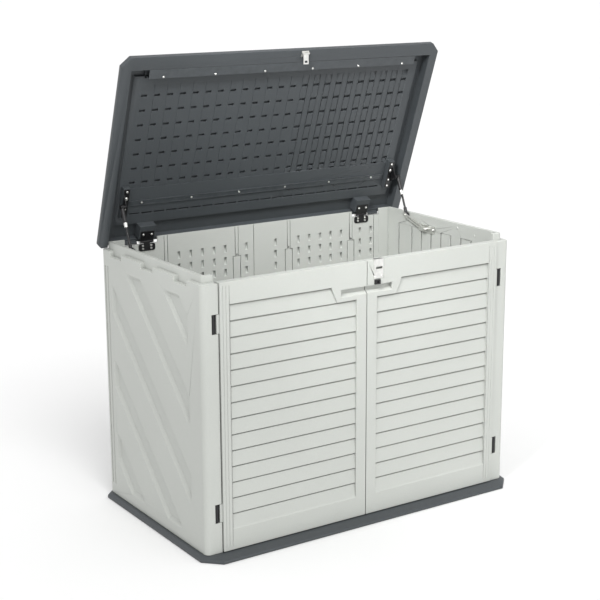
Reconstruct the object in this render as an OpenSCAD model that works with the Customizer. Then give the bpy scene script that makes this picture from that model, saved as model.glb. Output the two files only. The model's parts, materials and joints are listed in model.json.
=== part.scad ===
// Horizontal garden storage box: resin panels on a base, two louvred front doors on pins,
// and a lid held open on two butt hinges and two telescopic stays.
// Origin on the ground under the middle of the box; +Z up, the doors face -Y.

/* [Box] */
// Width over the two side panels
box_w = 1300; // [1260:10:1340]
// Depth over the front posts and the rear wall
box_d = 718; // [700:2:730]
// Height of the wall shoulders above the ground
shoulder_h = 947; // [930:1:960]
// Height of the thin lips that enter the lid channel, above the shoulders
lip_rise = 26; // [20:1:28]
// Thickness of a side panel
side_t = 30; // [28:1:34]
// Thickness of the rear wall
rear_t = 23; // [21:1:25]

/* [Base] */
// Height of the floor of the box above the ground
floor_h = 20; // [18:1:24]
// How far the base shows in front of the posts
base_front = 50; // [44:1:56]
// How far the base shows beside the side panels
base_side = 20; // [16:1:24]

/* [Doors] */
// Thickness of a door
door_t = 30; // [28:1:32]
// Number of louvre slats on a door
slat_count = 14; // [10:1:16]
// Depth of the shadow gap under each slat
slat_depth = 11; // [7:1:14]

/* [Lid] */
// Width of the lid
lid_w = 1346; // [1344:2:1352]
// Thickness of the lid at its middle
lid_t = 52; // [50:1:60]
// Angle at which the lid stands open
lid_open = 70; // [60:1:75]
// Rows of moulded slots inside the lid
waffle_rows = 7; // [5:1:7]
// Columns of moulded slots inside the lid
waffle_cols = 23; // [15:2:23]

/* [Hidden] */
$fn = 48;
eps = 0.5;                                  // how far a cutter runs past the face it cuts

resin = [0.78, 0.79, 0.77];
slate = [0.28, 0.30, 0.32];
zinc = [0.75, 0.75, 0.73];
black = [0.08, 0.08, 0.08];

half_w = box_w / 2;
half_d = box_d / 2;
lip_h = shoulder_h + lip_rise;

// Plan of the walls
post_x = half_w - 61;                       // edge of a front post, beside the door
post_t = 37;                                // front to back thickness of a post
return_x = half_w - 80;                     // where a side panel ends on the rear wall
corner_r = 20;                              // rounding of the front corners
lip_out = half_w - 17;                      // outer face of the lip
lip_in = half_w - side_t;                   // inner face of the side wall and its lip
rear_in = half_d - rear_t;                  // inner face of the rear wall
lip_front = -(half_d - 24);                 // front face of the lip behind the door tops
lip_end = post_x + 4;                       // where the lip ends behind the post
rear_lip_t = 6;                             // thickness of the lip along the rear wall
flute_y = [318, 338];                       // upright flutes on the outside of a side panel
wall_grooves = [-180, -120, -60, 0, 60, 120, 181, 265]; // grooves on its inside
diamonds = [[137, 956], [-98, 954], [-199, 938]];       // small raised diamonds above them

// Rear wall
rear_seam = -24;                            // joint between the two rear panels
rib_x = [-403, -100, 136, 432];             // raised ribs
rib_top = 858;
rib_line = 7;                               // half width of the strip above a rib
rear_line_x = 546;                          // upright line near each end of the rear wall
rear_slot_x = [-531, -477, -350, -300, -250, -200, -151, -57, 75, 181, 232, 283, 334, 385, 477, 531];
slot_pitch_z = 46;
rear_slot = [11, 8, 27];                    // width, depth at the top and height of a slot
rear_slot_top = 904;

// Shoulder notches on the side panels
notch_pitch = 235;
notch_mid = 18;
notch_w = 87;
notch_depth = 20;

// Diagonal recesses on the outside of the side panels
panel_rear = 293;                           // rear edge of the recessed field
panel_front = -264;                         // front edge of it
panel_low = 62;
panel_top = 888;
band_pitch = 277;                           // distance from one band to the next, measured up
band_first = -128;
band_rise = 115;                            // height of a band, measured up
band_depth = 11;
band_slope = 12;                            // run of the sloped recess walls

// Door hinges
knuckle_x = half_w - 44;                    // vertical hinge axis of a door
knuckle_y = -(half_d - 7);
knuckle_r = 6.5;
door_pin_r = 2.5;
fit = 0.05;                                 // radial running clearance of every pin
knuckle_h = 62;
knuckle_z = [130, 782];                     // bottom of each knuckle
pin_spare = 14;                             // length of pin held in the post over and under a knuckle
pocket_gap = 2;                             // height left over a knuckle in its pocket
pocket_x = knuckle_x + 7.5;                 // far wall of the pocket
tab_x = knuckle_x - 10;                     // edge of the door's tab over the hinge plate
plate_y = [knuckle_y + 2, knuckle_y + 4.5]; // the hinge plate, let into the edge of the door
plate_in = 20;                              // how far it reaches into the door

// Doors
door_front = -(half_d + 6);
door_back = door_front + door_t;
door_edge = post_x - 3;
door_seam = 1.5;                            // half of the gap between the two doors
door_low = floor_h + 3;
door_top = shoulder_h + 3;
stile_in = 43;                              // slats begin this far from the middle
stile_out = half_w - 101;                   // and end here
slat_top = 875;
slat_low = 96;
slat_pitch = (slat_top - slat_low) / slat_count;
slat_back = 4;                              // how far the lower edge of a slat stays behind the face
slat_gap = 5;                               // height of the shadow line over a slat
sill_h = 8;                                 // height of the bevel under the lowest slat
stile_line_x = [stile_out + 2, stile_out + 14, stile_out + 26];
bridge_w = [150, 125];                      // half widths of the dipped band at the handle
bridge_low = 820;
grip_w = 109;                               // half width of the finger recess
grip_z = [836, 862];
grip_sill = 11;                             // height of the sloped floor of the finger recess
grip_depth = 15;

// Lock plate and keeper on the right door
lock_x = [28, 68];
lock_low = 884;
lock_t = 2;
lock_depth = 14;                             // of its top flange
lock_slot_x = [36, 64];
lock_slot_z = [917, 925];
lock_screw_x = [33, 63];
lock_screw_z = 892;
keeper_mid = [42.5, 872];

// Lid, in its own closed position with the hinge axis as origin
hinge_y = rear_in + 2;
hinge_z = shoulder_h + 10;
rim_z = 1;                                  // underside of the rim above the hinge axis
lid_half = lid_w / 2;
lid_front = -724;
lid_rear = 7;
lid_edge_t = 19;                            // height of the upright edge before the bevel
lid_bevel = 30;
lid_chamfer = 32;
lid_rear_cut = 12;                          // cut across the rear corners
lid_rim_in = lip_out + 3;                   // inner edge of the side rims
frame_x = 607;                              // half width of the waffle frame
frame_z = rim_z + 26;                       // its surface, above the rim underside
channel_z = rim_z + 38;                     // floor of the channel that takes the lips
rear_rim_y = -8;                            // inner face of the rear rim
rear_rim_z = rim_z + 16;                    // its lower edge, above the lip of the rear wall
notch_rim_x = [518, 568];                   // where it comes down to close a hinge notch
frame_rear = -64;
front_rim_in = -677;                        // inner edge of the front rim
bar_half = 567;                             // half length of both steel bars
front_bar_y = [-677, -644];
rear_bar_y = [-161, -141];
bar_screw_pitch = 204;
waffle_pitch_x = 50.9;
waffle_pitch_y = 56;
waffle_front = -570;                        // middle of the first row of slots
slot_size = [24, 9, 8];
weave_depth = 1.2;                          // grooves between the columns of slots
field = [[-572, -611], [572, -211]];        // recessed field that holds the slots
field_depth = 1.5;
dash = [43, 6, 7];                          // long slots behind the rear bar
dash_y = -107;
top_groove = [1120, 7, 2.5];                 // across the outside of the lid
top_groove_y = [-570 : 110 : -130];

// Butt hinges of the lid
hinge_x = 482;
hinge_r = 5;
hinge_pin_r = 2.5;
lid_leaf_w = 52;
wall_leaf_w = 67;
leaf_t = 3;
wall_notch = [half_w - 213, half_w - 80];   // hinge notch in the rear wall
wall_notch_z = hinge_z - 9;
lid_leaf_screw = [16.5, -30];
wall_leaf_screw_x = 17;
wall_leaf_screw_z = [-14, -25];
screw_r = 4.4;                              // head of a screw

// Stays, worked in the plane of the side wall as [y, z]
stud_open = [265, 1107];                    // stud on the lid when the lid stands open
elbow_open = [205, 962];
arm_pivot = [85, 922];
strut_x = half_w - 39;                      // middle plane of the struts
strut_r = 7;
eye_r = 8.5;
rod_r = 4;
strut_len = norm(stud_open - elbow_open);
strut_angle = atan2(stud_open[1] - elbow_open[1], stud_open[0] - elbow_open[0]);
arm_len = norm(elbow_open - arm_pivot);
arm_angle = atan2(elbow_open[1] - arm_pivot[1], elbow_open[0] - arm_pivot[0]);
strut_mouth = 84;                           // lower mouth of the tube, from the elbow
collar_h = 16;
bore_h = 63;                                // depth of the tube's bore, its stroke and the rod in it
rod_top = 93;
sleeve_top = 30;                            // top of the black end fitting
rod_foot = 12;                              // where the rod ends in it
arm_x = strut_x - strut_r - 4;              // inner face of the arm
arm_t = 3.5;
web_x = arm_x - 6;                          // inner face of the lid bracket's web
elbow_pin_r = 3;
pivot_pin_r = 4;
bracket_t = 2;                              // wall bracket: its plate and its two bolts
bracket_y = [36, 138];
bracket_bolt_y = [48, 127];
// The stud's place with the lid closed, from the hinge axis
stud_rel = stud_open - [hinge_y, hinge_z];
stud_closed = [stud_rel[0] * cos(lid_open) - stud_rel[1] * sin(lid_open),
               stud_rel[0] * sin(lid_open) + stud_rel[1] * cos(lid_open)];
stay_pad_z = rim_z + 6;                     // pads in the lid under the stay brackets
stay_foot_x = [web_x - 19, web_x + 3];      // the bracket's foot
stay_screw_x = web_x - 9;
stay_screw_y = [-45, -17, 23, 49];          // bracket screws, along the lid from the stud

// Hasp on the front of the lid
hasp_x = 54;
hasp_y = -712;
hasp_z = -5.5;
hasp_w = 22;

// Shared shapes

// Rectangle between two corners with each corner cut off
module chamfered(lo, hi, front_cut, rear_cut) {
    polygon([
        [lo[0] + front_cut, lo[1]], [hi[0] - front_cut, lo[1]], [hi[0], lo[1] + front_cut],
        [hi[0], hi[1] - rear_cut], [hi[0] - rear_cut, hi[1]], [lo[0] + rear_cut, hi[1]],
        [lo[0], hi[1] - rear_cut], [lo[0], lo[1] + front_cut]
    ]);
}

// Box between two corners
module block(lo, hi) {
    translate(lo) cube(hi - lo);
}

// Upright groove with a round top, cut towards +X from the face at x
module wall_groove(x, y, top, width, depth) {
    translate([x - eps, y - width / 2, floor_h + 20]) cube([depth + eps, width, top - floor_h - 20]);
    translate([x - eps, y, top]) rotate([0, 90, 0]) cylinder(d = width, h = depth + eps);
}

// Pan head screw along +Z: the head stands on z = 0 and the shank goes down
module screw(head_r, head_h, shank_r, shank_h) {
    difference() {
        union() {
            cylinder(r1 = head_r, r2 = head_r * 0.72, h = head_h);
            translate([0, 0, -shank_h]) cylinder(r = shank_r, h = shank_h + eps);
        }
        for (turn = [0, 90]) {
            rotate([0, 0, turn]) translate([-head_r * 0.5, -0.5, head_h - 0.9]) cube([head_r, 1, 1.5]);
        }
    }
}

// Copies for the right side, or mirrored for the left
module on_side(side) {
    mirror([side == "left" ? 1 : 0, 0, 0]) children();
}

// Moves a shape from the closed lid's own position to the open lid
module on_lid() {
    translate([0, hinge_y, hinge_z]) rotate([-lid_open, 0, 0]) children();
}

// Base

module base_panel() {
    reach_x = half_w + base_side;
    front = -(half_d + base_front);
    rear = half_d + 16;
    edge_h = floor_h / 2;
    bevel = 38;
    rear_bevel = 9;
    pad_pitch = 118;
    color(slate) difference() {
        hull() {
            linear_extrude(edge_h) chamfered([-reach_x, front], [reach_x, rear], 58, 25);
            linear_extrude(floor_h)
                chamfered([-reach_x + rear_bevel, front + bevel], [reach_x - rear_bevel, rear - rear_bevel],
                          40, 20);
        }
        for (i = [-5 : 5]) {
            block([i * pad_pitch - 4, -300, floor_h - 3], [i * pad_pitch + 4, 310, floor_h + eps]);
        }
        for (j = [-2 : 2]) {
            block([-600, j * pad_pitch, floor_h - 3], [600, j * pad_pitch + 8, floor_h + eps]);
        }
    }
}

// Walls

module side_plan() {
    difference() {
        union() {
            translate([half_w - corner_r, -half_d + corner_r]) circle(r = corner_r, $fn = 96);
            translate([post_x, -half_d]) square([half_w - corner_r - post_x, post_t]);
            translate([lip_in, -half_d + corner_r]) square([side_t, box_d - corner_r - 12]);
            translate([half_w - 12, half_d - 12]) circle(r = 12, $fn = 96);
            translate([return_x, rear_in]) square([half_w - 12 - return_x, rear_t]);
        }
        translate([0, -half_d + post_t]) square([lip_in, rear_in + half_d - post_t]);
    }
}

module lip_plan() {
    difference() {
        union() {
            translate([lip_out - 12, lip_front + 12]) circle(r = 12, $fn = 64);
            translate([lip_end, lip_front]) square([lip_out - 12 - lip_end, 13]);
            translate([lip_in, lip_front + 12])
                square([lip_out - lip_in, rear_in + rear_lip_t - lip_front - 12]);
            translate([return_x, rear_in]) square([lip_out - return_x, rear_lip_t]);
        }
        translate([0, lip_front + 13]) square([lip_in, rear_in - lip_front - 13]);
    }
}

// Outline of one diagonal band, as [y, z], shrunk by a margin on every side
module band_outline(low, margin) {
    offset(r = 8, $fn = 24) offset(delta = -8 - margin) intersection() {
        translate([panel_front, panel_low])
            square([panel_rear - panel_front, panel_top - panel_low]);
        polygon([[-500, low - 500], [500, low + 500], [500, low + 500 + band_rise],
                 [-500, low - 500 + band_rise]]);
    }
}

module band_recess(low) {
    hull() {
        translate([half_w + eps, 0, 0]) rotate([90, 0, 90]) linear_extrude(0.1) band_outline(low, -eps);
        translate([half_w - band_depth, 0, 0]) rotate([90, 0, 90]) linear_extrude(0.1)
            band_outline(low, band_slope);
    }
}

module side_panel(side) {
    color(resin) on_side(side) {
        difference() {
            union() {
                translate([0, 0, floor_h]) linear_extrude(shoulder_h - floor_h) side_plan();
                translate([0, 0, floor_h]) linear_extrude(lip_h - floor_h) lip_plan();
            }
            for (i = [-1 : 1]) {
                translate([lip_out, notch_mid + i * notch_pitch - notch_w / 2, shoulder_h - notch_depth])
                    cube([side_t, notch_w, notch_depth + eps]);
            }
            for (i = [0 : 4]) {
                band_recess(band_first + i * band_pitch + (i == 4 ? 0 : 3));
            }
            for (y = wall_grooves) {
                wall_groove(lip_in, y, 915, 8, 6);
            }
            for (y = flute_y) {
                block([half_w - 3, y - 4, panel_low], [half_w + eps, y + 4, panel_top]);
            }
            for (z = knuckle_z) {
                block([post_x - eps, -half_d - eps, z - pocket_gap],
                      [pocket_x, knuckle_y + 9.5, z + knuckle_h + pocket_gap]);
                translate([knuckle_x, knuckle_y, z - pin_spare])
                    cylinder(r = door_pin_r, h = knuckle_h + 2 * pin_spare);
            }
            for (y = bracket_bolt_y) {
                translate([lip_in - eps, y, arm_pivot[1]]) rotate([0, 90, 0]) cylinder(r = 2.5, h = 16.5);
            }
        }
        for (p = diamonds) {
            translate([lip_in - 2, p[0], p[1]]) rotate([45, 0, 0]) translate([0, -4, -4]) cube([4, 8, 8]);
        }
    }
}

// Lines round one rib, with a keyhole at its top and a narrow strip from there to the top of the wall
module rib_recess(x) {
    difference() {
        block([x - 18, rear_in - eps, floor_h + 20], [x + 18, rear_in + 5, rib_top]);
        block([x - 15, rear_in - 2 * eps, floor_h], [x + 15, rear_in + 6, rib_top - 3]);
    }
    for (side = [-1, 1]) {
        translate([x + side * rib_line, 0, 0])
            block([-1, rear_in - eps, rib_top - eps], [1, rear_in + 4, lip_h + eps]);
    }
    translate([x, rear_in - eps, rib_top + 4]) rotate([-90, 0, 0]) cylinder(r = 5, h = 7);
}

// Slot that is deepest at its top and runs out to the face at its bottom
module rear_slot(x, top) {
    translate([x - rear_slot[0] / 2, 0, 0]) rotate([90, 0, 90]) linear_extrude(rear_slot[0])
        polygon([[rear_in - eps, top], [rear_in + rear_slot[1], top],
                 [rear_in + rear_slot[1], top - rear_slot[2] / 2],
                 [rear_in + 2, top - rear_slot[2]], [rear_in - eps, top - rear_slot[2]]]);
}

module rear_panel(x_lo, x_hi) {
    color(resin) difference() {
        union() {
            block([x_lo, rear_in, floor_h], [x_hi, half_d, shoulder_h]);
            block([x_lo, rear_in, floor_h], [x_hi, rear_in + rear_lip_t, lip_h - 1]);
        }
        for (side = [-1, 1]) {
            block([side > 0 ? wall_notch[0] : -wall_notch[1] - eps, rear_in - eps, wall_notch_z],
                  [side > 0 ? wall_notch[1] + eps : -wall_notch[0], half_d + eps, lip_h]);
        }
        for (x = rib_x) {
            if (x > x_lo && x < x_hi) rib_recess(x);
        }
        for (x = rear_slot_x, i = [0 : 18]) {
            if (x > x_lo && x < x_hi) rear_slot(x, rear_slot_top - i * slot_pitch_z);
        }
        for (side = [-1, 1], dx = [-wall_leaf_screw_x, wall_leaf_screw_x], dz = wall_leaf_screw_z) {
            if (side * hinge_x > x_lo && side * hinge_x < x_hi)
                translate([side * hinge_x + dx, rear_in - eps, hinge_z + dz]) rotate([-90, 0, 0])
                    cylinder(r = 2, h = 15.5);
        }
        // the seam between the two panels, and a line near each end
        for (x = [-rear_line_x, rear_seam, rear_line_x]) {
            block([x - 1.2, rear_in - eps, floor_h - eps], [x + 1.2, rear_in + 5, lip_h]);
        }
        // outside: broad upright flutes
        for (x = [x_lo + 60 : 80 : x_hi - 60]) {
            block([x - 20, half_d - 5, 80], [x + 20, half_d + eps, 880]);
        }
    }
}

// Doors

// One slat's cut: a shadow line at the top of the slat, then its face, leaning out to its foot
module slat_cut(i) {
    top = slat_top - i * slat_pitch;
    foot = top - slat_pitch;
    lowest = i == slat_count - 1;
    rotate([90, 0, 90]) linear_extrude(stile_out - stile_in)
        polygon([[door_front - eps, foot], [door_front + (lowest ? 0 : slat_back), foot],
                 [door_front + slat_back, foot + (lowest ? sill_h : 0.1)],
                 [door_front + slat_depth - 3, top - slat_gap], [door_front + slat_depth, top - slat_gap],
                 [door_front + slat_depth, top], [door_front - eps, top]]);
}

// Finger recess under the upper band: flat back, floor sloping out to the face
module grip() {
    translate([-eps, 0, 0]) rotate([90, 0, 90]) linear_extrude(grip_w + eps)
        polygon([[door_front - eps, grip_z[0] - eps], [door_front + grip_depth, grip_z[0] + grip_sill],
                 [door_front + grip_depth, grip_z[1]], [door_front - eps, grip_z[1]]]);
}

module bridge() {
    translate([0, door_front + door_t, 0]) rotate([90, 0, 0]) linear_extrude(door_t)
        polygon([[0, bridge_low], [bridge_w[1], bridge_low],
                 [bridge_w[0], slat_top + 2], [0, slat_top + 2]]);
}

module door(side) {
    color(resin) on_side(side) difference() {
        union() {
            block([door_seam, door_front, door_low], [door_edge, door_back, door_top]);
            for (z = knuckle_z) {
                block([door_edge - eps, knuckle_y - 7, z - 1], [tab_x, plate_y[0], z + knuckle_h + 1]);
            }
        }
        difference() {
            for (i = [0 : slat_count - 1]) {
                translate([stile_in, 0, 0]) slat_cut(i);
            }
            bridge();
        }
        grip();
        for (x = stile_line_x) {
            block([x - 0.8, door_front - eps, door_low + 12], [x + 0.8, door_front + 1.2, door_top - 12]);
        }
        // inside: four shallow fields between ribs
        for (i = [0 : 3]) {
            x = 60 + i * 125;
            block([x, door_back - 5, 90], [x + 100, door_back + eps, 790]);
        }
        for (z = knuckle_z) {
            block([door_edge - plate_in, plate_y[0], z], [door_edge + eps, plate_y[1], z + knuckle_h]);
        }
        if (side == "right") {
            block([lock_slot_x[0], door_front - eps, lock_slot_z[0]],
                  [lock_slot_x[1], door_front + 10, lock_slot_z[1]]);
            for (x = lock_screw_x) {
                translate([x, door_front - eps, lock_screw_z]) rotate([-90, 0, 0])
                    cylinder(r = 1.8, h = 12.5);
            }
        }
    }
}

// Barrels with a plate that is let into the edge of the door
module door_hinges(side) {
    color(black) on_side(side) for (z = knuckle_z) {
        difference() {
            union() {
                translate([knuckle_x, knuckle_y, z]) cylinder(r = knuckle_r, h = knuckle_h);
                block([door_edge - plate_in, plate_y[0], z], [knuckle_x, plate_y[1], z + knuckle_h]);
            }
            translate([knuckle_x, knuckle_y, z - eps])
                cylinder(r = door_pin_r + fit, h = knuckle_h + 2 * eps);
        }
    }
}

module door_pins(side) {
    color(black) on_side(side) for (z = knuckle_z) {
        translate([knuckle_x, knuckle_y, z - pin_spare])
            cylinder(r = door_pin_r, h = knuckle_h + 2 * pin_spare);
    }
}

module door_lock_plate() {
    color(zinc) difference() {
        union() {
            block([lock_x[0], door_front - lock_t, lock_low],
                  [lock_x[1], door_front, door_top + lock_t]);
            block([lock_x[0], door_front - lock_t, door_top],
                  [lock_x[1], door_front + lock_depth, door_top + lock_t]);
        }
        block([lock_slot_x[0], door_front - lock_t - eps, lock_slot_z[0]],
              [lock_slot_x[1], door_front + eps, lock_slot_z[1]]);
        for (x = lock_screw_x) {
            translate([x, door_front - 3, lock_screw_z]) rotate([-90, 0, 0]) cylinder(r = 1.8, h = 4);
        }
    }
}

module door_lock_screws() {
    color(zinc) for (x = lock_screw_x) {
        translate([x, door_front - lock_t, lock_screw_z]) rotate([90, 0, 0]) screw(3.6, 1.6, 1.8, 12);
    }
}

// Small black block that takes a padlock's shackle
module door_lock_keeper() {
    color(black) difference() {
        block([keeper_mid[0] - 11.5, door_front - 6, keeper_mid[1] - 8],
              [keeper_mid[0] + 11.5, door_front, keeper_mid[1] + 8]);
        translate([keeper_mid[0], door_front - 6 - eps, keeper_mid[1]]) rotate([-90, 0, 0])
            cylinder(r = 4.5, h = 5);
    }
}

// Lid

module lid_solid() {
    hull() {
        translate([0, 0, rim_z]) linear_extrude(lid_edge_t)
            chamfered([-lid_half, lid_front], [lid_half, lid_rear], lid_chamfer, lid_rear_cut);
        translate([0, 0, rim_z]) linear_extrude(lid_t)
            chamfered([-lid_half + lid_bevel, lid_front + lid_bevel],
                      [lid_half - lid_bevel, lid_rear - lid_bevel / 2], lid_chamfer - 10, lid_rear_cut);
    }
}

// Everything inside the rims, down to the frame, and the deeper channel round the frame
module lid_hollow() {
    difference() {
        block([-lid_rim_in, front_rim_in, -eps], [lid_rim_in, lid_rear + eps, channel_z]);
        block([-frame_x, front_bar_y[1], frame_z], [frame_x, frame_rear, channel_z + eps]);
        block([-bar_half, front_rim_in - eps, frame_z], [bar_half, front_bar_y[1] + eps, channel_z + eps]);
        block([-lid_rim_in - eps, rear_rim_y, rear_rim_z],
              [lid_rim_in + eps, lid_rear + 2 * eps, channel_z + eps]);
        for (side = [-1, 1]) on_side(side > 0 ? "right" : "left") {
            block([notch_rim_x[0], 0, rim_z], [notch_rim_x[1], lid_rear + 2 * eps, channel_z + eps]);
            block([hinge_x - 33, frame_rear - eps, rim_z], [hinge_x + 33, -12, channel_z + eps]);
            block([stay_foot_x[0] - 1, stud_closed[0] - 58, stay_pad_z],
                  [stay_foot_x[1] + 1, stud_closed[0] + 62, channel_z + eps]);
        }
    }
}

// Basket weave: rows of slots, and shallow grooves between their columns
module lid_weave() {
    block([field[0][0], field[0][1], frame_z - eps], [field[1][0], field[1][1], frame_z + field_depth]);
    for (i = [0 : waffle_cols - 1], j = [0 : waffle_rows - 1]) {
        at = [(i - (waffle_cols - 1) / 2) * waffle_pitch_x, waffle_front + j * waffle_pitch_y];
        translate([at[0] - slot_size[0] / 2, at[1] - slot_size[1] / 2, frame_z])
            cube([slot_size[0], slot_size[1], slot_size[2] + field_depth]);
    }
    groove_w = waffle_pitch_x - slot_size[0] - 2;
    for (i = [1 : waffle_cols - 1]) {
        x = (i - waffle_cols / 2) * waffle_pitch_x;
        block([x - groove_w / 2, field[0][1], frame_z],
              [x + groove_w / 2, field[1][1], frame_z + field_depth + weave_depth]);
    }
    for (i = [0 : waffle_cols - 2]) {
        x = (i - (waffle_cols - 2) / 2) * waffle_pitch_x;
        translate([x - dash[0] / 2, dash_y - dash[1] / 2, frame_z - eps])
            cube([dash[0], dash[1], dash[2] + eps]);
    }
}

// Shallow grooves across the outside of the lid
module lid_top_grooves() {
    for (y = top_groove_y) {
        block([-top_groove[0] / 2, y - top_groove[1] / 2, rim_z + lid_t - top_groove[2]],
              [top_groove[0] / 2, y + top_groove[1] / 2, rim_z + lid_t + eps]);
    }
}

module lid_panel() {
    color(slate) on_lid() difference() {
        lid_solid();
        lid_hollow();
        lid_weave();
        lid_top_grooves();
        block([-bar_half, front_bar_y[1] + 1, frame_z - eps], [bar_half, front_bar_y[1] + 7, frame_z + 12]);
        for (i = [-2.5 : 2.5]) {
            translate([i * bar_screw_pitch, front_bar_y[1] - 5, 0]) cylinder(r = 2, h = frame_z + 12);
            translate([i * bar_screw_pitch, rear_bar_y[0] + 10, 0]) cylinder(r = 2, h = frame_z + 12);
        }
        for (side = [-1, 1]) {
            for (dx = [-lid_leaf_screw[0], lid_leaf_screw[0]]) {
                translate([side * hinge_x + dx, lid_leaf_screw[1], 0]) cylinder(r = 2, h = 20);
            }
            for (dy = stay_screw_y) {
                translate([side * stay_screw_x, stud_closed[0] + dy, 0]) cylinder(r = 2, h = 22);
            }
        }
        for (dx = [-8, 8]) {
            translate([hasp_x + dx, -704, 0]) cylinder(r = 1.5, h = 14);
        }
    }
}

// Front bar: steel channel whose face is level with the rim
module lid_front_bar() {
    face_t = 2;
    color(slate) on_lid() difference() {
        block([-bar_half + 1, front_bar_y[0] + 0.5, rim_z], [bar_half - 1, front_bar_y[1], frame_z]);
        block([-bar_half, front_bar_y[0] + 0.5 + face_t, rim_z + face_t],
              [bar_half, front_bar_y[1] - face_t, frame_z + eps]);
        for (i = [-2.5 : 2.5]) {
            translate([i * bar_screw_pitch, front_bar_y[1] - 5, 0]) cylinder(r = 2, h = 5);
        }
    }
}

module front_bar_screws() {
    color(zinc) on_lid() for (i = [-2.5 : 2.5]) {
        translate([i * bar_screw_pitch, front_bar_y[1] - 5, rim_z]) rotate([180, 0, 0]) screw(4.2, 2, 2, 37);
    }
}

// Rear bar: flat steel with turned edges
module lid_rear_bar() {
    bar_t = 4;
    color(slate) on_lid() difference() {
        block([-bar_half, rear_bar_y[0], frame_z - bar_t], [bar_half, rear_bar_y[1], frame_z]);
        block([-bar_half - eps, rear_bar_y[0] + 3, frame_z - bar_t - eps],
              [bar_half + eps, rear_bar_y[1] - 3, frame_z - bar_t + 1.2]);
        for (i = [-2.5 : 2.5]) {
            translate([i * bar_screw_pitch, rear_bar_y[0] + 10, 0]) cylinder(r = 2, h = frame_z + 1);
        }
    }
}

module rear_bar_screws() {
    color(zinc) on_lid() for (i = [-2.5 : 2.5]) {
        translate([i * bar_screw_pitch, rear_bar_y[0] + 10, frame_z - 2.8]) rotate([180, 0, 0])
            screw(4.2, 2, 2, 14);
    }
}

// Lid hinges

module hinge_lid_leaf(side) {
    knuckle_in = 12.5;
    color(black) on_side(side) on_lid() translate([hinge_x, 0, 0]) difference() {
        union() {
            block([-lid_leaf_w / 2, -43, rim_z - leaf_t], [lid_leaf_w / 2, -8, rim_z]);
            for (x = [-lid_leaf_w / 2, knuckle_in]) {
                block([x, -8 - eps, rim_z - leaf_t], [x + lid_leaf_w / 2 - knuckle_in, 0, rim_z]);
                translate([x, 0, 0]) rotate([0, 90, 0])
                    cylinder(r = hinge_r, h = lid_leaf_w / 2 - knuckle_in);
            }
        }
        translate([-lid_leaf_w, 0, 0]) rotate([0, 90, 0])
            cylinder(r = hinge_pin_r + fit, h = 2 * lid_leaf_w);
        for (dx = [-lid_leaf_screw[0], lid_leaf_screw[0]]) {
            translate([dx, lid_leaf_screw[1], -9]) cylinder(r = 2, h = 12);
        }
    }
}

// Plate with round corners, a tab up to the barrel and four screw holes
module hinge_wall_leaf(side) {
    tab = 12;
    round_r = 8;
    plate_z = [-33, -7];
    color(black) on_side(side) translate([hinge_x, hinge_y, hinge_z]) difference() {
        union() {
            block([-wall_leaf_w / 2, -leaf_t - 2, plate_z[0] + round_r],
                  [wall_leaf_w / 2, -2, plate_z[1] - round_r]);
            block([-wall_leaf_w / 2 + round_r, -leaf_t - 2, plate_z[0]],
                  [wall_leaf_w / 2 - round_r, -2, plate_z[1]]);
            for (x = [-1, 1], z = [plate_z[0] + round_r, plate_z[1] - round_r]) {
                translate([x * (wall_leaf_w / 2 - round_r), -leaf_t - 2, z]) rotate([-90, 0, 0])
                    cylinder(r = round_r, h = leaf_t);
            }
            block([-tab, -leaf_t - 2, plate_z[1] - eps], [tab, -2, 0]);
            translate([-tab, 0, 0]) rotate([0, 90, 0]) cylinder(r = hinge_r, h = 2 * tab);
        }
        translate([-tab - 1, 0, 0]) rotate([0, 90, 0]) cylinder(r = hinge_pin_r, h = 2 * tab + 2);
        for (dx = [-wall_leaf_screw_x, wall_leaf_screw_x], dz = wall_leaf_screw_z) {
            translate([dx, -9, dz]) rotate([-90, 0, 0]) cylinder(r = 2, h = 12);
        }
    }
}

module hinge_pin(side) {
    color(zinc) on_side(side) translate([hinge_x - 29, hinge_y, hinge_z]) rotate([0, 90, 0]) {
        cylinder(r = hinge_pin_r, h = 58);
        translate([0, 0, -1.5]) cylinder(r = 4, h = 2);
        translate([0, 0, 57.5]) cylinder(r = 4, h = 2);
    }
}

module hinge_lid_screws() {
    color(zinc) for (side = [-1, 1], dx = [-lid_leaf_screw[0], lid_leaf_screw[0]]) {
        on_lid() translate([side * hinge_x + dx, lid_leaf_screw[1], rim_z - leaf_t]) rotate([180, 0, 0])
            screw(screw_r, 2.2, 2, 20);
    }
}

module hinge_wall_screws() {
    color(zinc) for (side = [-1, 1], dx = [-wall_leaf_screw_x, wall_leaf_screw_x], dz = wall_leaf_screw_z) {
        translate([side * hinge_x + dx, rear_in - leaf_t, hinge_z + dz]) rotate([90, 0, 0])
            screw(screw_r, 2.2, 2, 17);
    }
}

// Hasp

module hasp_bracket() {
    plate_t = 2;
    color(zinc) on_lid() translate([hasp_x, 0, 0]) difference() {
        union() {
            block([-15, hasp_y - 8, rim_z - plate_t], [15, -697, rim_z]);
            for (x = [-15, 12]) {
                block([x, hasp_y - 3.5, hasp_z], [x + 3, hasp_y + 3.5, rim_z - 1]);
                translate([x, hasp_y, hasp_z]) rotate([0, 90, 0]) cylinder(r = 3.5, h = 3);
            }
        }
        translate([-16, hasp_y, hasp_z]) rotate([0, 90, 0]) cylinder(r = 1.5, h = 32);
        for (dx = [-8, 8]) {
            translate([dx, -704, -2]) cylinder(r = 1.5, h = 5);
        }
    }
    color(zinc) on_lid() for (dx = [-8, 8]) {
        translate([hasp_x + dx, -704, rim_z - plate_t]) rotate([180, 0, 0]) screw(3, 1.2, 1.5, 13);
    }
}

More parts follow.
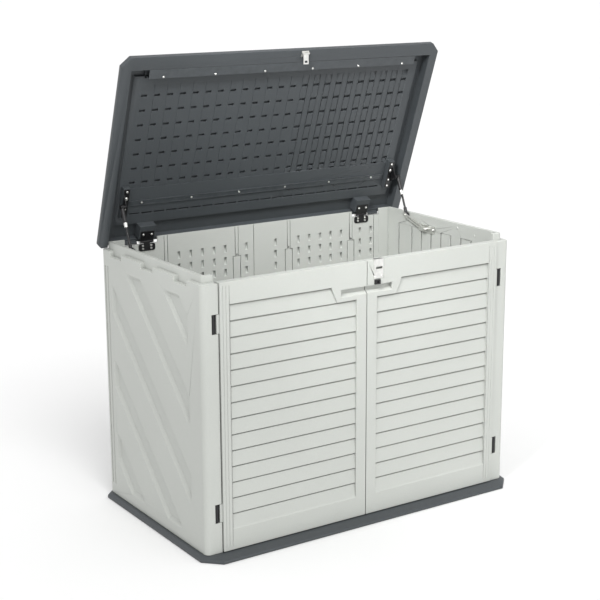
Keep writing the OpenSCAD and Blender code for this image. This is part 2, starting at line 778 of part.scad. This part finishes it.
// The strap always hangs straight down from its pin
module hasp_strap() {
    pin = hasp_pin_place();
    color(zinc) translate([hasp_x, pin[0], pin[1]]) difference() {
        union() {
            block([-hasp_w / 2, -1, -38], [hasp_w / 2, 1, 0]);
            translate([-hasp_w / 2, 0, 0]) rotate([0, 90, 0]) cylinder(r = 3, h = hasp_w);
        }
        translate([-hasp_w, 0, 0]) rotate([0, 90, 0]) cylinder(r = 1.5 + fit, h = 2 * hasp_w);
        block([-6, -2, -33], [6, 2, -25]);
    }
}

function hasp_pin_place() = [
    hinge_y + hasp_y * cos(lid_open) + hasp_z * sin(lid_open),
    hinge_z - hasp_y * sin(lid_open) + hasp_z * cos(lid_open)
];

module hasp_pin() {
    color(zinc) on_lid() translate([hasp_x - 16, hasp_y, hasp_z]) rotate([0, 90, 0])
        cylinder(r = 1.5, h = 32);
}

// Stays

// Puts a shape drawn along +Z, with z = 0 at the elbow, on the strut's line
module on_strut() {
    translate([strut_x, elbow_open[0], elbow_open[1]]) rotate([strut_angle - 90, 0, 0]) children();
}

module on_arm() {
    translate([arm_x, arm_pivot[0], arm_pivot[1]]) rotate([arm_angle, 0, 0]) children();
}

// Angle bracket on the lid: flat foot, upright web and a riveted stud that ends short of the strut's eye
module stay_bracket(side) {
    foot = [stud_closed[0] - 54, stud_closed[0] + 57];
    foot_z = [stay_pad_z - 2, stay_pad_z];
    web_t = 3;
    color(black) on_side(side) on_lid() difference() {
        union() {
            block([stay_foot_x[0], foot[0], foot_z[0]], [stay_foot_x[1], foot[1], foot_z[1]]);
            translate([web_x, 0, 0]) rotate([90, 0, 90]) linear_extrude(web_t)
                polygon([[stud_closed[0] - 34, foot_z[0] + 1], [stud_closed[0] - 9, stud_closed[1] + 2],
                         [stud_closed[0] - 4, stud_closed[1] - 8], [stud_closed[0] + 4, stud_closed[1] - 8],
                         [stud_closed[0] + 9, stud_closed[1] + 2], [stud_closed[0] + 34, foot_z[0] + 1]]);
            translate([web_x, stud_closed[0], stud_closed[1]]) rotate([0, 90, 0]) cylinder(r = 6, h = 9.5);
        }
        for (dy = stay_screw_y) {
            translate([stay_screw_x, stud_closed[0] + dy, 0]) cylinder(r = 2, h = stay_pad_z + 1);
        }
    }
}

// The second screw has a broad washer head
module stay_screws(side) {
    color(zinc) on_side(side) on_lid() for (i = [0 : 3]) {
        translate([stay_screw_x, stud_closed[0] + stay_screw_y[i], stay_pad_z - 2]) rotate([180, 0, 0])
            screw(i == 1 ? 6.5 : screw_r, 2.2, 2, 17);
    }
}

module strut_tube(side) {
    color(black) on_side(side) on_strut() difference() {
        union() {
            translate([0, 0, strut_mouth + collar_h])
                cylinder(r = strut_r, h = strut_len - strut_mouth - collar_h - 6);
            translate([0, 0, strut_mouth + collar_h / 2]) cylinder(r = strut_r - 1.5, h = collar_h / 2 + 1);
            translate([-strut_r + 0.5, 0, strut_len]) rotate([0, 90, 0])
                cylinder(r = eye_r, h = 2 * strut_r - 1);
        }
        translate([0, 0, strut_mouth]) cylinder(r = rod_r + fit, h = bore_h);
        translate([-strut_r - 1, 0, strut_len]) rotate([0, 90, 0]) cylinder(r = 3.5, h = 2 * strut_r + 2);
    }
}

module strut_collar(side) {
    color(zinc) on_side(side) on_strut() difference() {
        translate([0, 0, strut_mouth]) cylinder(r = strut_r - 0.5, h = collar_h);
        translate([0, 0, strut_mouth - eps]) cylinder(r = rod_r + fit, h = collar_h + 1);
        translate([0, 0, strut_mouth + collar_h / 2]) cylinder(r = strut_r - 1.5, h = collar_h / 2 + 1);
    }
}

module strut_rod(side) {
    color(black) on_side(side) on_strut() translate([0, 0, rod_foot])
        cylinder(r = rod_r, h = rod_top - rod_foot);
}

// Black lower end with the eye that turns on the elbow pin
module strut_end(side) {
    color(black) on_side(side) on_strut() difference() {
        union() {
            translate([0, 0, 5]) cylinder(r = strut_r - 1, h = sleeve_top - 5);
            translate([0, 0, sleeve_top - 7]) cylinder(r = strut_r - 0.2, h = 5);
            translate([-strut_r + 0.5, 0, 0]) rotate([0, 90, 0])
                cylinder(r = eye_r, h = 2 * strut_r - 1);
        }
        translate([0, 0, rod_foot]) cylinder(r = rod_r, h = sleeve_top - rod_foot + 1);
        translate([-strut_r - 1, 0, 0]) rotate([0, 90, 0])
            cylinder(r = elbow_pin_r + fit, h = 2 * strut_r + 2);
    }
}

module stay_arm(side) {
    color(zinc) on_side(side) on_arm() difference() {
        union() {
            block([0, 0, -8], [arm_t, arm_len, 8]);
            for (y = [0, arm_len]) {
                translate([0, y, 0]) rotate([0, 90, 0]) cylinder(r = 9, h = arm_t);
            }
        }
        translate([-1, 0, 0]) rotate([0, 90, 0]) cylinder(r = pivot_pin_r + fit, h = arm_t + 2);
        translate([-1, arm_len, 0]) rotate([0, 90, 0]) cylinder(r = elbow_pin_r, h = arm_t + 2);
        block([-1, 24, -2.5], [arm_t + 1, arm_len - 24, 2.5]);
    }
}

module elbow_pin(side) {
    color(zinc) on_side(side) translate([0, elbow_open[0], elbow_open[1]]) rotate([0, 90, 0]) {
        translate([0, 0, arm_x - 2]) cylinder(r = 5.5, h = 2);
        translate([0, 0, arm_x]) cylinder(r = elbow_pin_r, h = strut_x + strut_r - arm_x - 1);
    }
}

// Plate on the side wall with the arm's pivot pin riveted in it
module wall_bracket(side) {
    color(zinc) on_side(side) {
        difference() {
            block([lip_in - bracket_t, bracket_y[0], arm_pivot[1] - 14],
                  [lip_in, bracket_y[1], arm_pivot[1] + 14]);
            for (y = bracket_bolt_y) {
                translate([lip_in - 4, y, arm_pivot[1]]) rotate([0, 90, 0]) cylinder(r = 2.5, h = 6);
            }
        }
        translate([0, arm_pivot[0], arm_pivot[1]]) rotate([0, 90, 0]) {
            translate([0, 0, arm_x - 2.5]) cylinder(r = 7, h = 2);
            translate([0, 0, arm_x - 1]) cylinder(r = pivot_pin_r, h = lip_in - bracket_t - arm_x + 1.5);
            translate([0, 0, arm_x + arm_t + 0.5]) cylinder(r = 7, h = lip_in - bracket_t - arm_x - arm_t);
        }
    }
}

module bracket_bolts(side) {
    color(zinc) on_side(side) for (y = bracket_bolt_y) {
        translate([lip_in - bracket_t, y, arm_pivot[1]]) rotate([0, -90, 0]) screw(6, 3.5, 2.5, 17);
    }
}

base_panel();
side_panel("left");  // left_side_panel
side_panel("right");  // right_side_panel
rear_panel(-return_x, rear_seam);  // rear_panel_left
rear_panel(rear_seam, return_x);  // rear_panel_right
door("left");  // left_door
door("right");  // right_door
door_hinges("left");  // left_door_hinges
door_hinges("right");  // right_door_hinges
door_pins("left");  // left_door_pins
door_pins("right");  // right_door_pins
door_lock_plate();
door_lock_screws();
door_lock_keeper();
lid_panel();
lid_front_bar();
lid_rear_bar();
front_bar_screws();
rear_bar_screws();
hinge_lid_leaf("left");  // left_hinge_lid_leaf
hinge_lid_leaf("right");  // right_hinge_lid_leaf
hinge_wall_leaf("left");  // left_hinge_wall_leaf
hinge_wall_leaf("right");  // right_hinge_wall_leaf
hinge_pin("left");  // left_hinge_pin
hinge_pin("right");  // right_hinge_pin
hinge_lid_screws();
hinge_wall_screws();
hasp_bracket();
hasp_strap();
hasp_pin();
stay_bracket("left");  // left_stay_bracket
stay_bracket("right");  // right_stay_bracket
stay_screws("left");  // left_stay_screws
stay_screws("right");  // right_stay_screws
strut_tube("left");  // left_strut_tube
strut_tube("right");  // right_strut_tube
strut_collar("left");  // left_strut_collar
strut_collar("right");  // right_strut_collar
strut_rod("left");  // left_strut_rod
strut_rod("right");  // right_strut_rod
strut_end("left");  // left_strut_end
strut_end("right");  // right_strut_end
stay_arm("left");  // left_stay_arm
stay_arm("right");  // right_stay_arm
elbow_pin("left");  // left_elbow_pin
elbow_pin("right");  // right_elbow_pin
wall_bracket("left");  // left_wall_bracket
wall_bracket("right");  // right_wall_bracket
bracket_bolts("left");  // left_bracket_bolts
bracket_bolts("right");  // right_bracket_bolts
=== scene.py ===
"""Looks for the garden storage box: softened resin mouldings, grained materials, studio light and camera."""
import json
import math

import bmesh
import bpy
from mathutils import Euler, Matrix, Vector


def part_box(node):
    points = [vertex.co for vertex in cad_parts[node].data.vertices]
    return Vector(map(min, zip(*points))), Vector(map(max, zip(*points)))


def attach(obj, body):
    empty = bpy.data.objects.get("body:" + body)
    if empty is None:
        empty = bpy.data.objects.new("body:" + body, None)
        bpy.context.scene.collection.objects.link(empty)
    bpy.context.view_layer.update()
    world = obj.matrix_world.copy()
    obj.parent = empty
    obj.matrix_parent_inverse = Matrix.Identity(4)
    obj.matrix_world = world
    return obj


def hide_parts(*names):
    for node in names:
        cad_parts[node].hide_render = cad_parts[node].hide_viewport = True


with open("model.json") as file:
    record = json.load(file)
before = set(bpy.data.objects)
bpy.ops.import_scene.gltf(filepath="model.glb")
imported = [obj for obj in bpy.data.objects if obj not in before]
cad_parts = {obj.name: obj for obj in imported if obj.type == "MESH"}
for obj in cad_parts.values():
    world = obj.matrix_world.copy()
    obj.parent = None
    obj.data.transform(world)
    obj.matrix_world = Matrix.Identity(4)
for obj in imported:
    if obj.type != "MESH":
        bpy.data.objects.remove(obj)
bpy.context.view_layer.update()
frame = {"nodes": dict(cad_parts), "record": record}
nodes = frame["nodes"]
body_of = {name: body for body, names in frame["record"]["behaviour"]["bodies"].items() for name in names}

# ---------------------------------------------------------------- camera

CAMERA_AT = (-2.781, -4.148, 1.969)      # metres, in the box's own frame
CAMERA_YAW = -33.5                       # degrees from looking along +Y
CAMERA_DOWN = 13.84
CAMERA_ROLL = -0.25
LENS_MM = 84.1


def add_camera():
    camera = bpy.data.objects.new("camera", bpy.data.cameras.new("camera"))
    camera.data.lens = LENS_MM
    camera.data.sensor_width = 36
    turn = Euler((math.radians(90 - CAMERA_DOWN), 0, 0)).to_matrix()
    yaw = Euler((0, 0, math.radians(CAMERA_YAW))).to_matrix()
    roll = Euler((0, 0, math.radians(CAMERA_ROLL))).to_matrix()
    camera.matrix_world = (yaw @ turn @ roll).to_4x4()
    camera.location = CAMERA_AT
    bpy.context.scene.collection.objects.link(camera)
    bpy.context.scene.camera = camera


# ---------------------------------------------------------------- materials

def new_material(name):
    """A material with its Principled shader, and a helper that adds and joins nodes."""
    material = bpy.data.materials.new(name)
    material.use_nodes = True
    tree = material.node_tree
    shader = tree.nodes["Principled BSDF"]

    def add(kind, settings=None, **inputs):
        made = tree.nodes.new(kind)
        for key, value in (settings or {}).items():
            setattr(made, key, value)
        for key, value in inputs.items():
            socket = made.inputs[key.replace("_", " ")]
            if isinstance(value, bpy.types.NodeSocket):
                tree.links.new(value, socket)
            else:
                socket.default_value = value
        return made

    return material, tree, shader, add


def ramp(add, factor, stops):
    """Colour ramp node: stops are (place, grey or rgb)."""
    made = add("ShaderNodeValToRGB", Fac=factor)
    elements = made.color_ramp.elements
    while len(elements) < len(stops):
        elements.new(0.5)
    for element, (place, colour) in zip(elements, stops):
        rgb = colour if isinstance(colour, tuple) else (colour, colour, colour)
        element.position = place
        element.color = (*rgb, 1)
    return made.outputs["Color"]


def mixed(add, tree, blend, factor, base, other):
    """Colour mix of two sockets; the factor and the second colour may be plain values."""
    made = add("ShaderNodeMix", {"data_type": "RGBA", "blend_type": blend})
    for place, value in ((0, factor), (6, base), (7, other)):
        if isinstance(value, bpy.types.NodeSocket):
            tree.links.new(value, made.inputs[place])
        else:
            made.inputs[place].default_value = (*value, 1) if isinstance(value, tuple) else value
    return made.outputs[2]


def resin(name, colour, pale, dusk, grain=0.35, rough=(0.42, 0.58)):
    """Moulded resin: cloudy tone, fine spark-eroded grain, paler rubbed edges, painted shade darkening
    corners and recesses.
    """
    material, tree, shader, add = new_material(name)
    place = add("ShaderNodeTexCoord").outputs["Object"]
    cloud = add("ShaderNodeTexNoise", Vector=place, Scale=3.1, Detail=4.0, Roughness=0.55)
    speck = add("ShaderNodeTexNoise", Vector=place, Scale=420.0, Detail=2.0, Roughness=0.6)
    mottle = add("ShaderNodeTexNoise", Vector=place, Scale=60.0, Detail=3.0, Roughness=0.6)
    tone = ramp(add, cloud.outputs["Fac"], [(0.3, dusk), (0.7, colour)])
    fleck = ramp(add, speck.outputs["Fac"], [(0.35, 0.96), (0.65, 1.0)])
    toned = mixed(add, tree, "MULTIPLY", 1, tone, fleck)
    edge = add("ShaderNodeAmbientOcclusion", {"samples": 4, "inside": True, "only_local": True},
               Distance=0.003)
    worn = ramp(add, edge.outputs["AO"], [(0.45, 0.7), (0.72, 0.0)])
    scuff = add("ShaderNodeMath", {"operation": "MULTIPLY"})
    tree.links.new(worn, scuff.inputs[0])
    tree.links.new(ramp(add, mottle.outputs["Fac"], [(0.3, 0.45), (0.7, 1.0)]), scuff.inputs[1])
    edged = mixed(add, tree, "MIX", scuff.outputs[0], toned, pale)
    # painted shade: ambient occlusion darkens the colour in corners, creases and recesses
    hollow = add("ShaderNodeAmbientOcclusion", {"samples": 6}, Distance=0.014)
    painted_hollow_shade = ramp(add, hollow.outputs["AO"], [(0.25, 0.62), (0.8, 1.0)])
    with_painted_shade = mixed(add, tree, "MULTIPLY", 1, edged, painted_hollow_shade)
    tree.links.new(with_painted_shade, shader.inputs["Base Color"])
    gloss = add("ShaderNodeMapRange", Value=mottle.outputs["Fac"], To_Min=rough[0], To_Max=rough[1])
    tree.links.new(gloss.outputs["Result"], shader.inputs["Roughness"])
    pits = add("ShaderNodeTexVoronoi", Vector=place, Scale=620.0)
    warp = add("ShaderNodeTexNoise", Vector=place, Scale=7.0, Detail=1.0)
    low = add("ShaderNodeBump", Strength=0.12, Distance=0.002, Height=warp.outputs["Fac"])
    fine = add("ShaderNodeBump", Strength=grain, Distance=0.0004, Height=pits.outputs["Distance"],
               Normal=low.outputs["Normal"])
    tree.links.new(fine.outputs["Normal"], shader.inputs["Normal"])
    shader.inputs["IOR"].default_value = 1.5
    return material


def plated(name, colour, rough=(0.22, 0.42), brushed=True):
    """Plated or polished metal with fine brushing and cloudy roughness."""
    material, tree, shader, add = new_material(name)
    place = add("ShaderNodeTexCoord").outputs["Object"]
    along = add("ShaderNodeMapping", Vector=place)
    along.inputs["Scale"].default_value = (60, 900, 900) if brushed else (300, 300, 300)
    lines = add("ShaderNodeTexNoise", Vector=along.outputs["Vector"], Scale=1.0, Detail=3.0)
    cloud = add("ShaderNodeTexNoise", Vector=place, Scale=70.0, Detail=3.0)
    tone = ramp(add, cloud.outputs["Fac"],
                [(0.3, tuple(0.82 * c for c in colour)), (0.7, colour)])
    tree.links.new(tone, shader.inputs["Base Color"])
    gloss = add("ShaderNodeMapRange", Value=lines.outputs["Fac"], To_Min=rough[0], To_Max=rough[1])
    tree.links.new(gloss.outputs["Result"], shader.inputs["Roughness"])
    bump = add("ShaderNodeBump", Strength=0.25, Distance=0.0002, Height=lines.outputs["Fac"])
    tree.links.new(bump.outputs["Normal"], shader.inputs["Normal"])
    shader.inputs["Metallic"].default_value = 1
    return material


def coated(name, colour, rough=(0.32, 0.5), pits=900.0, chip=(0.2, 0.2, 0.2)):
    """Powder coat or satin plastic: orange peel, and bright rubbed edges."""
    material, tree, shader, add = new_material(name)
    place = add("ShaderNodeTexCoord").outputs["Object"]
    peel = add("ShaderNodeTexNoise", Vector=place, Scale=pits, Detail=2.0)
    cloud = add("ShaderNodeTexNoise", Vector=place, Scale=45.0, Detail=3.0)
    edge = add("ShaderNodeAmbientOcclusion", {"samples": 4, "inside": True, "only_local": True},
               Distance=0.0012)
    worn = ramp(add, edge.outputs["AO"], [(0.4, 0.6), (0.7, 0.0)])
    tone = ramp(add, cloud.outputs["Fac"], [(0.3, tuple(0.75 * c for c in colour)), (0.7, colour)])
    tree.links.new(mixed(add, tree, "MIX", worn, tone, chip), shader.inputs["Base Color"])
    gloss = add("ShaderNodeMapRange", Value=cloud.outputs["Fac"], To_Min=rough[0], To_Max=rough[1])
    tree.links.new(gloss.outputs["Result"], shader.inputs["Roughness"])
    bump = add("ShaderNodeBump", Strength=0.3, Distance=0.0003, Height=peel.outputs["Fac"])
    tree.links.new(bump.outputs["Normal"], shader.inputs["Normal"])
    return material


GREY = (0.505, 0.522, 0.492)
SLATE = (0.061, 0.069, 0.075)
materials = {
    "grey_resin": resin("grey_resin", GREY, (0.72, 0.73, 0.70), tuple(0.965 * c for c in GREY)),
    "slate_resin": resin("slate_resin", SLATE, (0.125, 0.138, 0.147), tuple(0.9 * c for c in SLATE),
                         grain=0.5, rough=(0.4, 0.55)),
    "painted_bar": coated("painted_bar", SLATE, rough=(0.3, 0.42), chip=(0.16, 0.17, 0.18)),
    "black_steel": coated("black_steel", (0.010, 0.010, 0.011), rough=(0.28, 0.42), chip=(0.08, 0.08, 0.08)),
    "black_plastic": coated("black_plastic", (0.009, 0.009, 0.010), rough=(0.3, 0.5), pits=500.0,
                            chip=(0.04, 0.04, 0.04)),
    "zinc": plated("zinc", (0.90, 0.90, 0.87), rough=(0.3, 0.5)),
}


# ---------------------------------------------------------------- softened mouldings

hinge_at = sum((Vector(v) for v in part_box("left_hinge_pin")), Vector()) / 2
lid_hinge = next(j for j in frame["record"]["behaviour"]["joints"] if j["name"] == "lid_hinge")
lid_travel = lid_hinge["range_deg"][1]
to_closed = Euler((math.radians(lid_travel), 0, 0)).to_matrix()
WEAVE = (0.575, -0.615, -0.100, 0.040)    # half width, front, rear and height of the weave, lid closed


def in_weave(edge):
    """True for an edge of the basket weave inside the lid, which keeps its crisp moulded corners."""
    half, front, rear, top = WEAVE
    at = to_closed @ ((edge.verts[0].co + edge.verts[1].co) / 2 - hinge_at)
    return abs(at.x) < half and front < at.y < rear and at.z < top


MERGE = 2e-5                              # corners closer than this are one corner
FLAT = math.radians(0.6)                  # faces that meet at less than this are one face
SHARP = math.radians(24)                  # edges that turn by more than this are rounded


def softened(node, radius, leave=None):
    """A copy of a CAD node's shape with its sharp edges rounded, shown in its place."""
    made = bpy.data.objects.new(node + "_moulded", nodes[node].data.copy())
    bpy.context.scene.collection.objects.link(made)
    shape = bmesh.new()
    shape.from_mesh(made.data)
    bmesh.ops.remove_doubles(shape, verts=shape.verts, dist=MERGE)
    bmesh.ops.dissolve_limit(shape, angle_limit=FLAT, verts=shape.verts, edges=shape.edges)
    # faces with many corners fold over when rounding moves their corners, so they are cut up first
    bmesh.ops.triangulate(shape, faces=[f for f in shape.faces if len(f.verts) > 4])
    corner = [e for e in shape.edges
              if len(e.link_faces) == 2 and e.calc_face_angle(0) > SHARP
              and not (leave and leave(e))]
    bmesh.ops.bevel(shape, geom=corner, offset=radius, offset_type="OFFSET", segments=3,
                    profile=0.5, affect="EDGES", clamp_overlap=False, loop_slide=True)
    for face in shape.faces:
        face.smooth = True
    for edge in shape.edges:
        edge.smooth = not (leave and leave(edge))
    shape.to_mesh(made.data)
    shape.free()
    made.data.materials.clear()
    weighted = made.modifiers.new("flat_faces", "WEIGHTED_NORMAL")
    weighted.keep_sharp = True
    weighted.weight = 90
    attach(made, body_of[node])
    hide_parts(node)
    return made


slot_of = {s["node"]: s["material_slot"] for s in frame["record"]["subparts"]}
SOFT_EDGES = {
    "base_panel": 0.0020, "left_side_panel": 0.0014, "right_side_panel": 0.0014,
    "rear_panel_left": 0.0008, "rear_panel_right": 0.0008, "left_door": 0.0009, "right_door": 0.0009,
    "lid_panel": 0.0016,
}
for node, radius in SOFT_EDGES.items():
    piece = softened(node, radius, in_weave if node == "lid_panel" else None)
    piece.data.materials.append(materials[slot_of[node]])
for node, piece in nodes.items():
    if node not in SOFT_EDGES:
        piece.data.materials.clear()
        piece.data.materials.append(materials[slot_of[node]])


# ---------------------------------------------------------------- stage and light

FLOOR_HALF = 150
FLOOR_DROP = 0.0005                       # keeps the floor clear of the base's underside
SURROUND = 0.80


def add_floor():
    corners = [(-FLOOR_HALF, -FLOOR_HALF, 0), (FLOOR_HALF, -FLOOR_HALF, 0),
               (FLOOR_HALF, FLOOR_HALF, 0), (-FLOOR_HALF, FLOOR_HALF, 0)]
    plane = bpy.data.meshes.new("floor")
    plane.from_pydata(corners, [], [(0, 1, 2, 3)])
    floor = bpy.data.objects.new("floor", plane)
    floor.location.z = -FLOOR_DROP
    bpy.context.scene.collection.objects.link(floor)
    material, tree, shader, add = new_material("floor")
    place = add("ShaderNodeTexCoord").outputs["Object"]
    cloud = add("ShaderNodeTexNoise", Vector=place, Scale=0.6, Detail=3.0)
    tree.links.new(ramp(add, cloud.outputs["Fac"], [(0.3, 0.91), (0.7, 0.93)]), shader.inputs["Base Color"])
    shader.inputs["Roughness"].default_value = 0.85
    shader.inputs["Specular IOR Level"].default_value = 0.15
    floor.data.materials.append(material)


def add_lamp(name, kind, at, towards, settings):
    light = bpy.data.lights.new(name, kind)
    for key, value in settings.items():
        setattr(light, key, value)
    lamp = bpy.data.objects.new(name, light)
    lamp.location = at
    lamp.rotation_euler = (Vector(towards) - Vector(at)).to_track_quat("-Z", "Y").to_euler()
    bpy.context.scene.collection.objects.link(lamp)


def add_light():
    """A broad soft light from the upper front, an even surround, a panel for gloss and a spot inside."""
    world = bpy.data.worlds.new("studio")
    bpy.context.scene.world = world
    world.use_nodes = True
    world.node_tree.nodes["Background"].inputs["Color"].default_value = (1, 1, 1, 1)
    world.node_tree.nodes["Background"].inputs["Strength"].default_value = SURROUND
    middle = Vector((0, 0, 0.7))
    add_lamp("key", "SUN", middle + Vector((-0.9, -4.1, 4.6)), middle,
             {"energy": 1.4, "angle": math.radians(30)})
    add_lamp("gloss", "AREA", (1.8, -6.0, 3.2), middle,
             {"shape": "RECTANGLE", "size": 3.0, "size_y": 2.0, "energy": 18})
    add_lamp("inside", "AREA", (-1.6, -1.2, 2.6), (0.62, 0.12, 0.85),
             {"shape": "DISK", "size": 0.6, "energy": 5, "spread": math.radians(42)})


add_camera()
add_floor()
add_light()
bpy.context.scene.view_settings.view_transform = "Standard"
